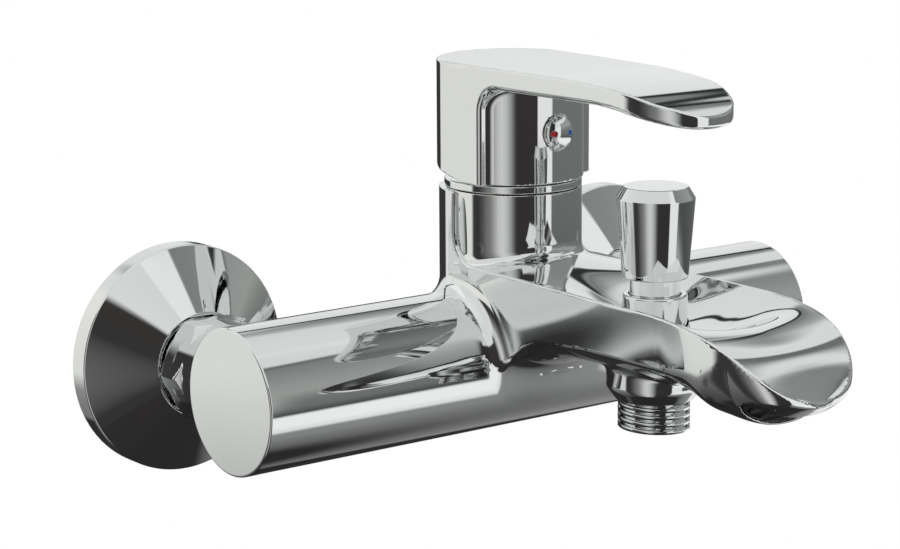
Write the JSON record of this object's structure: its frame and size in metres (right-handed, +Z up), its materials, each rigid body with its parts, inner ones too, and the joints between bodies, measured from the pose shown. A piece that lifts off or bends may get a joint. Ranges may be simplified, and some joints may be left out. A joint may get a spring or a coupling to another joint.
{
  "type": "wall mounted bath and shower mixer tap",
  "caption": "Wall mounted single lever bath mixer: round tube body between two inlets, collar with lever handle, open spout, lift knob diverter and threaded shower outlet.",
  "frame": {"origin": "on the wall face, midway between the two inlets, at the height of the body tube's axis", "axes": "+Y into the wall, +X to the right for someone facing the wall, +Z up"},
  "size_m": [0.235, 0.2127, 0.124],
  "materials": {
    "chrome": "bright polished chrome plate over cast brass",
    "brass": "plain machined brass",
    "steel": "plain stainless steel",
    "rubber": "black moulded rubber",
    "housing_plastic": "moulded off-white acetal",
    "dark_plastic": "moulded dark grey acetal",
    "ceramic": "lapped alumina ceramic",
    "red_enamel": "glossy red enamel",
    "blue_enamel": "glossy blue enamel"
  },
  "bodies": {
    "fixed_body": {"body_casting": "chrome", "left_eccentric_connector": "chrome", "right_eccentric_connector": "chrome", "left_end_cap": "chrome", "right_end_cap": "chrome", "left_escutcheon": "chrome", "right_escutcheon": "chrome", "trim_ring": "chrome", "diverter_bonnet": "chrome", "shower_outlet_nipple": "chrome", "cartridge_nut": "brass", "left_nut_snap_ring": "steel", "right_nut_snap_ring": "steel", "left_strainer": "steel", "right_strainer": "steel", "diverter_spring": "steel", "aerator_screen": "steel", "left_cap_seal": "rubber", "right_cap_seal": "rubber", "left_union_gasket": "rubber", "right_union_gasket": "rubber", "cartridge_base_seal": "rubber", "cartridge_housing": "housing_plastic", "aerator_frame": "dark_plastic", "fixed_ceramic_disc": "ceramic"},
    "swivel": {"cartridge_rotor": "housing_plastic", "spindle_pin": "steel"},
    "lever": {"lever_spindle": "brass", "handle": "chrome", "handle_set_screw": "steel", "index_button": "chrome", "hot_index_dot": "red_enamel", "cold_index_dot": "blue_enamel"},
    "disc_carriage": {"disc_carrier": "dark_plastic", "moving_ceramic_disc": "ceramic"},
    "diverter": {"diverter_knob": "chrome", "diverter_stem": "brass", "diverter_valve": "brass", "lower_valve_seal": "rubber", "upper_valve_seal": "rubber"},
    "left_nut": {"left_union_nut": "chrome"},
    "right_nut": {"right_union_nut": "chrome"}
  },
  "joints": [
    {"name": "handle_swing", "type": "hinge", "parent": "fixed_body", "child": "swivel", "pos_m": [0, -0.0612, 0.044], "axis": [0, 0, 1], "range_deg": [-50, 50]},
    {"name": "handle_tilt", "type": "hinge", "parent": "swivel", "child": "lever", "pos_m": [0, -0.0612, 0.044], "axis": [-1, 0, 0], "range_deg": [0, 14]},
    {"name": "disc_slide", "type": "slide", "parent": "swivel", "child": "disc_carriage", "axis": [0, -1, 0], "range_m": [0, 0.0032]},
    {"name": "diverter_lift", "type": "slide", "parent": "fixed_body", "child": "diverter", "axis": [0, 0, 1], "range_m": [0, 0.007], "stiffness_N_per_m": 150, "springref_m": -0.008, "deforming": ["diverter_spring"]},
    {"name": "left_nut_spin", "type": "hinge", "parent": "fixed_body", "child": "left_nut", "pos_m": [-0.083, -0.025, 0], "axis": [0, 1, 0], "continuous": true},
    {"name": "right_nut_spin", "type": "hinge", "parent": "fixed_body", "child": "right_nut", "pos_m": [0.083, -0.025, 0], "axis": [0, 1, 0], "continuous": true}
  ],
  "couplings": [
    {"joint": "disc_slide", "follows": "handle_tilt", "m_per_rad": 0.01235}
  ]
}
